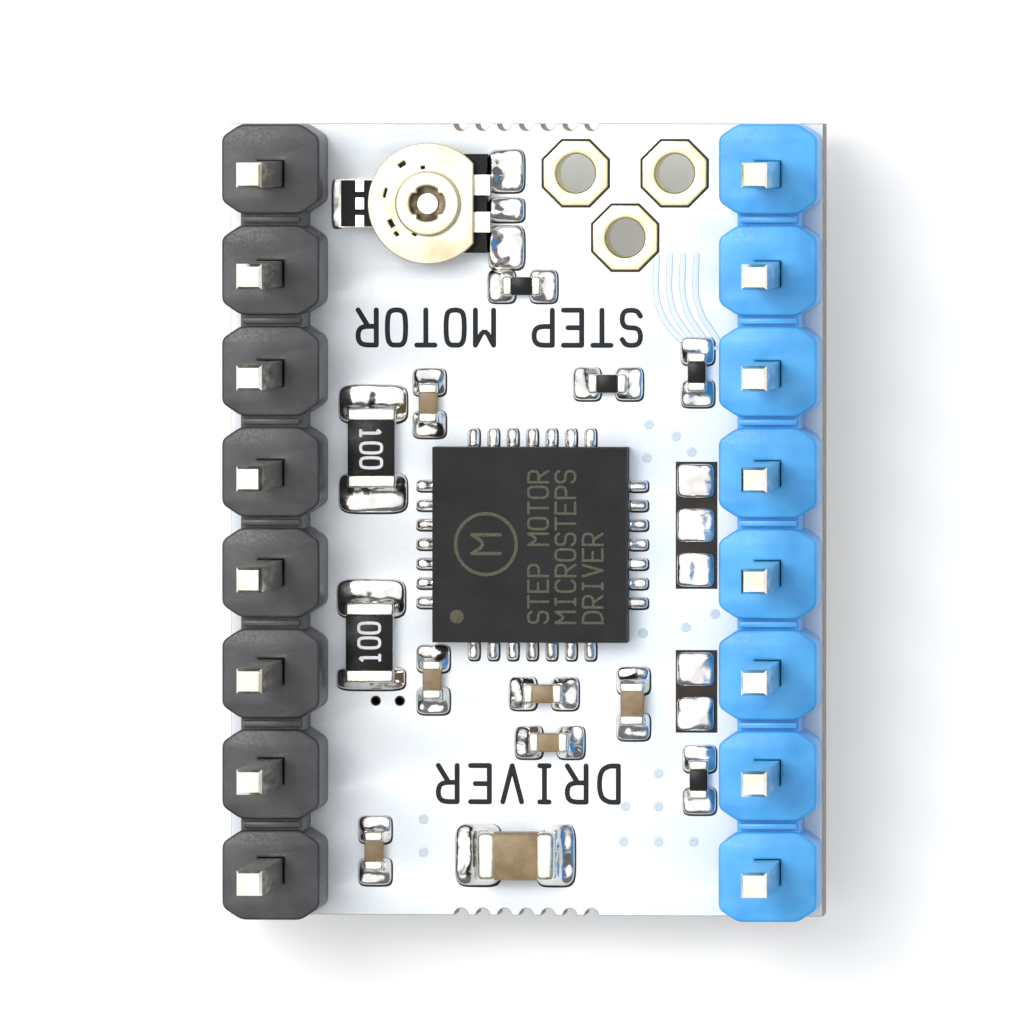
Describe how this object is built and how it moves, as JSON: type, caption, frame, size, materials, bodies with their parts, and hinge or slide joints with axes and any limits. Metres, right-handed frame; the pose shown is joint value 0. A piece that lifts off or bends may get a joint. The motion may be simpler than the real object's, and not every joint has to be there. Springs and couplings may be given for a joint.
{
  "type": "stepper driver module",
  "caption": "Small plug-in stepper motor driver board with a driver chip, current trimmer, chip parts, three plated test holes and a pin header along each long edge.",
  "frame": {"origin": "centre of the module on the surface that its solder tails stand on", "axes": "+Y along the pin rows, towards the end with the trimmer; +Z the way the long pins point; +X towards the blue header"},
  "size_m": [0.0152, 0.0204, 0.0115],
  "materials": {
    "white_solder_mask": "white solder mask, satin, over glass-fibre board",
    "black_header_plastic": "moulded, fine grain",
    "blue_header_plastic": "moulded, fine grain",
    "pin_metal": "tin-plated brass, drawn, bright",
    "solder": "reflowed tin alloy, smooth and bright",
    "chip_moulding": "moulded epoxy, matt",
    "tinned_lead": "tinned copper alloy",
    "copper": "bare copper lead frame, sealed in the chip",
    "silicon": "polished silicon, sealed in the chip",
    "trimmer_resin": "moulded resin",
    "carbon_track": "fired resistive film",
    "rotor_metal": "stamped sheet, pale plated finish",
    "gold_plating": "thin gold over nickel",
    "alumina": "fired white alumina",
    "resistor_glass": "black protective glass",
    "end_cap_metal": "tin plating",
    "capacitor_ceramic": "fired tan ceramic",
    "spreader_metal": "bare plated copper with a thin tin finish"
  },
  "bodies": {
    "module": {"circuit_board": "white_solder_mask", "black_header_housing": "black_header_plastic", "blue_header_housing": "blue_header_plastic", "black_header_pin_1": "pin_metal", "black_header_pin_2": "pin_metal", "black_header_pin_3": "pin_metal", "black_header_pin_4": "pin_metal", "black_header_pin_5": "pin_metal", "black_header_pin_6": "pin_metal", "black_header_pin_7": "pin_metal", "black_header_pin_8": "pin_metal", "blue_header_pin_1": "pin_metal", "blue_header_pin_2": "pin_metal", "blue_header_pin_3": "pin_metal", "blue_header_pin_4": "pin_metal", "blue_header_pin_5": "pin_metal", "blue_header_pin_6": "pin_metal", "blue_header_pin_7": "pin_metal", "blue_header_pin_8": "pin_metal", "pin_solder_joints": "solder", "driver_chip_body": "chip_moulding", "driver_chip_leads": "tinned_lead", "driver_chip_die_pad": "copper", "driver_chip_die": "silicon", "driver_chip_solder": "solder", "trimmer_base": "trimmer_resin", "trimmer_track": "carbon_track", "trimmer_wiper_terminal": "tinned_lead", "trimmer_end_terminal_1": "tinned_lead", "trimmer_end_terminal_2": "tinned_lead", "trimmer_solder": "solder", "sense_resistor_1": "alumina", "sense_resistor_2": "alumina", "sense_resistor_coats": "resistor_glass", "sense_resistor_ends": "end_cap_metal", "bulk_capacitor": "capacitor_ceramic", "bulk_capacitor_ends": "end_cap_metal", "capacitor_1": "capacitor_ceramic", "capacitor_2": "capacitor_ceramic", "capacitor_3": "capacitor_ceramic", "capacitor_4": "capacitor_ceramic", "capacitor_5": "capacitor_ceramic", "capacitor_6": "capacitor_ceramic", "capacitor_ends": "end_cap_metal", "resistor_1": "alumina", "resistor_2": "alumina", "resistor_3": "alumina", "resistor_4": "alumina", "resistor_coats": "resistor_glass", "resistor_ends": "end_cap_metal", "passive_solder": "solder", "solder_jumpers": "solder", "test_socket_1": "gold_plating", "test_socket_2": "gold_plating", "test_socket_3": "gold_plating", "heat_spreader_pad": "spreader_metal"},
    "trimmer_rotor": {"trimmer_rotor": "rotor_metal", "trimmer_wiper": "gold_plating"}
  },
  "joints": [
    {"name": "trimmer_adjust", "type": "hinge", "parent": "module", "child": "trimmer_rotor", "pos_m": [-0.00245, 0.00812, 0.0039], "axis": [0, 0, 1], "range_deg": [-130, 130]}
  ]
}
